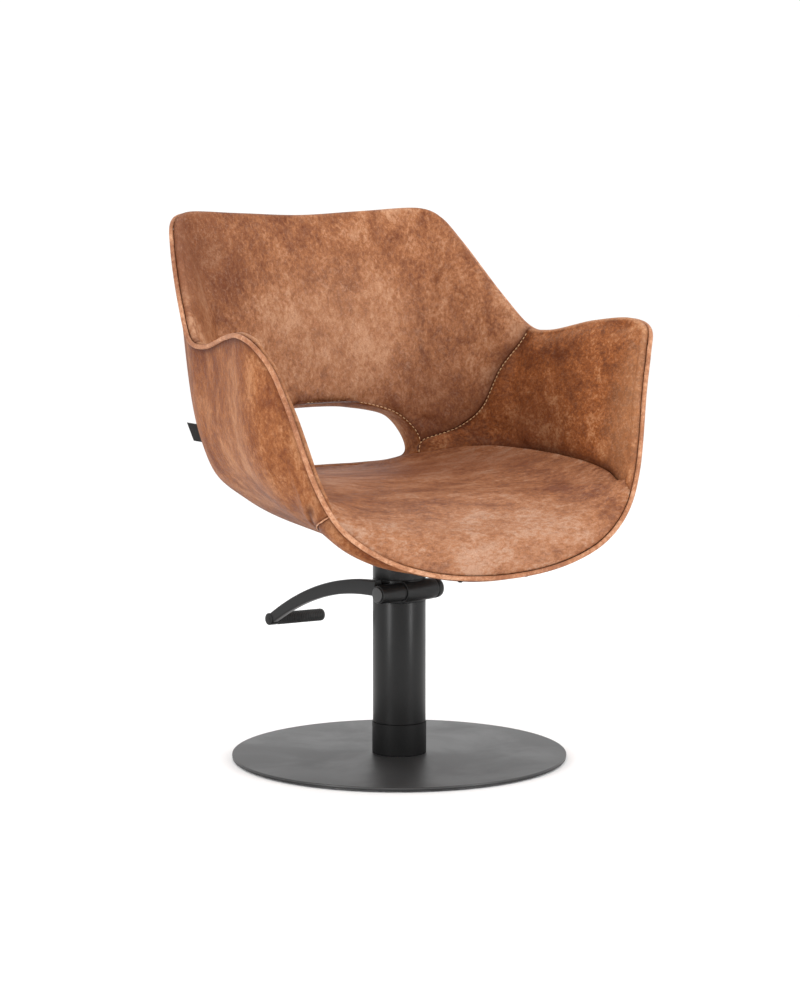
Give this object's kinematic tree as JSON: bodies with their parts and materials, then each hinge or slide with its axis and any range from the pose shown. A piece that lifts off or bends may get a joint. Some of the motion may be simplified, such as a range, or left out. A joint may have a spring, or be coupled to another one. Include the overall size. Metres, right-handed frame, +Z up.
{
  "type": "salon styling chair",
  "caption": "Padded tub seat with a lumbar opening, on a pump column that swivels and rises, with a foot lever and a round floor plate.",
  "frame": {"origin": "centre of the floor plate's underside, on the floor", "axes": "+Z up along the column, the chair faces -Y, +X is to the sitter's left"},
  "size_m": [0.73, 0.6727, 0.8931],
  "materials": {
    "leather": "distressed, low sheen",
    "piping": "low sheen",
    "plywood": "raw",
    "rubber": "matt",
    "plastic": "matt",
    "webbing": "woven",
    "brass": "satin",
    "black_metal": "satin powder coat",
    "steel": "satin"
  },
  "bodies": {
    "base": {"floor_pad": "rubber", "base_plate": "black_metal", "column_flange": "steel", "base_bolt_1": "steel", "base_bolt_2": "steel", "base_bolt_3": "steel", "base_bolt_4": "steel", "lower_sleeve": "black_metal", "guide_tube": "black_metal", "pump_cylinder": "steel", "gland_ring": "brass"},
    "lift": {"ram": "steel", "piston": "steel", "shroud": "black_metal", "shroud_bush": "plastic", "pump_head": "black_metal", "pump_block": "steel", "lever_housing": "black_metal"},
    "plunger": {"plunger": "steel"},
    "lever": {"lever_shaft": "steel", "pump_cam": "steel", "hub_cap": "black_metal", "lever_hub": "black_metal", "lever_arm": "black_metal", "arm_boss": "black_metal", "pedal_rod": "steel", "pedal_grip": "rubber"},
    "seat": {"arm_pad_left": "leather", "arm_pad_right": "leather", "back_pad": "leather", "cover_screw_1": "black_metal", "cover_screw_2": "black_metal", "lip_screw_1": "black_metal", "lip_screw_2": "black_metal", "opening_lining": "leather", "outer_back": "leather", "outer_front": "leather", "outer_left": "leather", "outer_right": "leather", "plate_screw_1": "steel", "plate_screw_2": "steel", "plate_screw_3": "steel", "plate_screw_4": "steel", "rear_sill_pad": "leather", "rim_piping": "piping", "seat_board": "plywood", "seat_cushion": "leather", "seat_mount_plate": "black_metal", "seat_shell": "plywood", "side_tag": "webbing", "swivel_collar": "black_metal", "tee_nut_1": "steel", "tee_nut_2": "steel", "tee_nut_3": "steel", "tee_nut_4": "steel"}
  },
  "joints": [
    {"name": "height", "type": "slide", "parent": "base", "child": "lift", "axis": [0, 0, 1], "range_m": [0, 0.15]},
    {"name": "swivel", "type": "hinge", "parent": "lift", "child": "seat", "pos_m": [0, 0, 0.32], "axis": [0, 0, 1], "continuous": true},
    {"name": "lever_stroke", "type": "hinge", "parent": "lift", "child": "lever", "pos_m": [0.00625, -0.03545, 0.281], "axis": [0.9848, 0.1736, 0], "range_deg": [-20, 8], "stiffness_Nm_per_rad": 60, "springref_deg": 1.15},
    {"name": "plunger_stroke", "type": "slide", "parent": "lift", "child": "plunger", "axis": [0, 0, 1], "range_m": [-0.0016, 0.0008]}
  ],
  "couplings": [
    {"joint": "plunger_stroke", "follows": "lever_stroke", "m_per_rad": 0.004}
  ]
}
